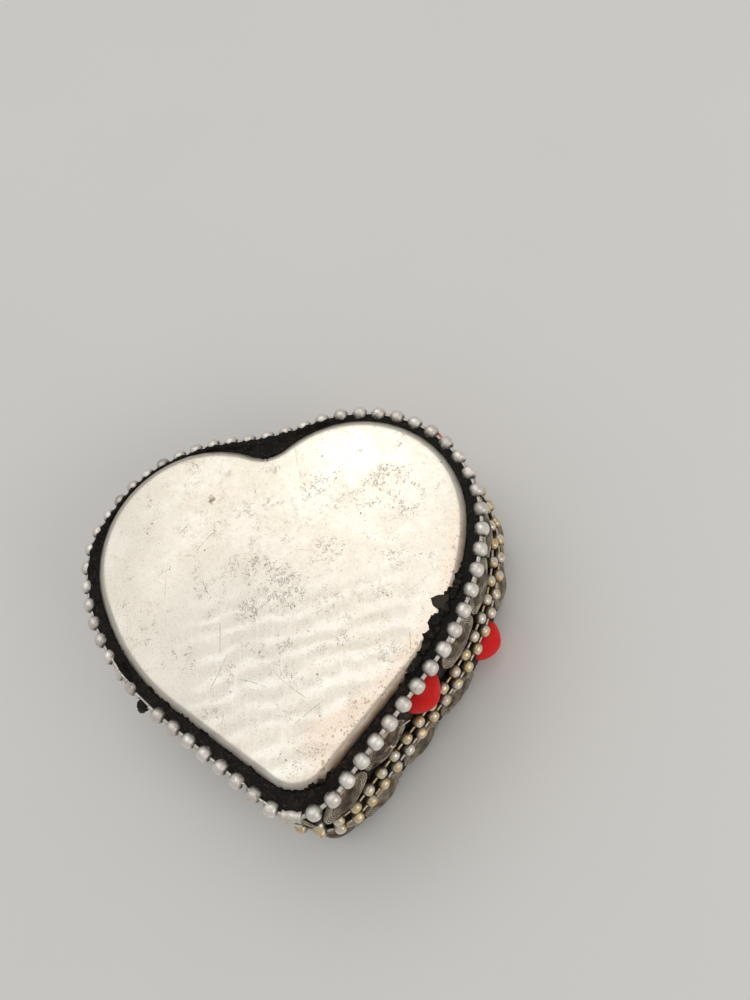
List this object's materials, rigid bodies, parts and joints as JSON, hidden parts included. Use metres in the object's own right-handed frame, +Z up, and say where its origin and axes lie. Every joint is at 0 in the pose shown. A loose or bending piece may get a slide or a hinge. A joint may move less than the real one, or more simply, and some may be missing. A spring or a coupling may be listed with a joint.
{
  "type": "heart-shaped trinket box",
  "caption": "Heart-shaped trinket box: pressed tin base and lift-off lid in black lac bands, trimmed with ball chain, stamped metal discs and red cabochons.",
  "frame": {"origin": "on the flat underside of the base, on the heart's line of symmetry, level with the middle of the heart's length", "axes": "+Z up, -Y towards the heart's tip, +Y towards its cleft, +X to the right seen from the tip"},
  "size_m": [0.0728, 0.0703, 0.0274],
  "materials": {
    "tin": "worn satin",
    "lac": "slightly glossy black lac",
    "chain_silver": "satin",
    "chain_gilt": "silvered, worn through to brass",
    "disc": "dull pewter",
    "stone": "matte red"
  },
  "bodies": {
    "base": {"base_cabochon_01": "stone", "base_cabochon_02": "stone", "base_cabochon_03": "stone", "base_disc_01": "disc", "base_disc_02": "disc", "base_disc_03": "disc", "base_disc_04": "disc", "base_disc_05": "disc", "base_disc_06": "disc", "base_disc_07": "disc", "base_disc_08": "disc", "base_disc_09": "disc", "base_disc_10": "disc", "base_disc_11": "disc", "base_disc_12": "disc", "base_disc_13": "disc", "base_disc_14": "disc", "base_disc_15": "disc", "base_disc_16": "disc", "base_disc_17": "disc", "base_disc_18": "disc", "base_lac_band": "lac", "base_rim_chain": "chain_gilt", "base_tin": "tin"},
    "lid": {"lid_cabochon_01": "stone", "lid_cabochon_02": "stone", "lid_cabochon_03": "stone", "lid_chain_connector": "chain_silver", "lid_disc_01": "disc", "lid_disc_02": "disc", "lid_disc_03": "disc", "lid_disc_04": "disc", "lid_disc_05": "disc", "lid_disc_06": "disc", "lid_disc_07": "disc", "lid_disc_08": "disc", "lid_disc_09": "disc", "lid_disc_10": "disc", "lid_disc_11": "disc", "lid_disc_12": "disc", "lid_disc_13": "disc", "lid_disc_14": "disc", "lid_disc_15": "disc", "lid_disc_16": "disc", "lid_disc_17": "disc", "lid_disc_18": "disc", "lid_lac_band": "lac", "lid_rim_chain": "chain_gilt", "lid_tin": "tin", "lid_top_chain": "chain_silver"}
  },
  "joints": [
    {"name": "lid_lift", "type": "slide", "parent": "base", "child": "lid", "axis": [0, 0, 1], "range_m": [0, 0.03]}
  ]
}
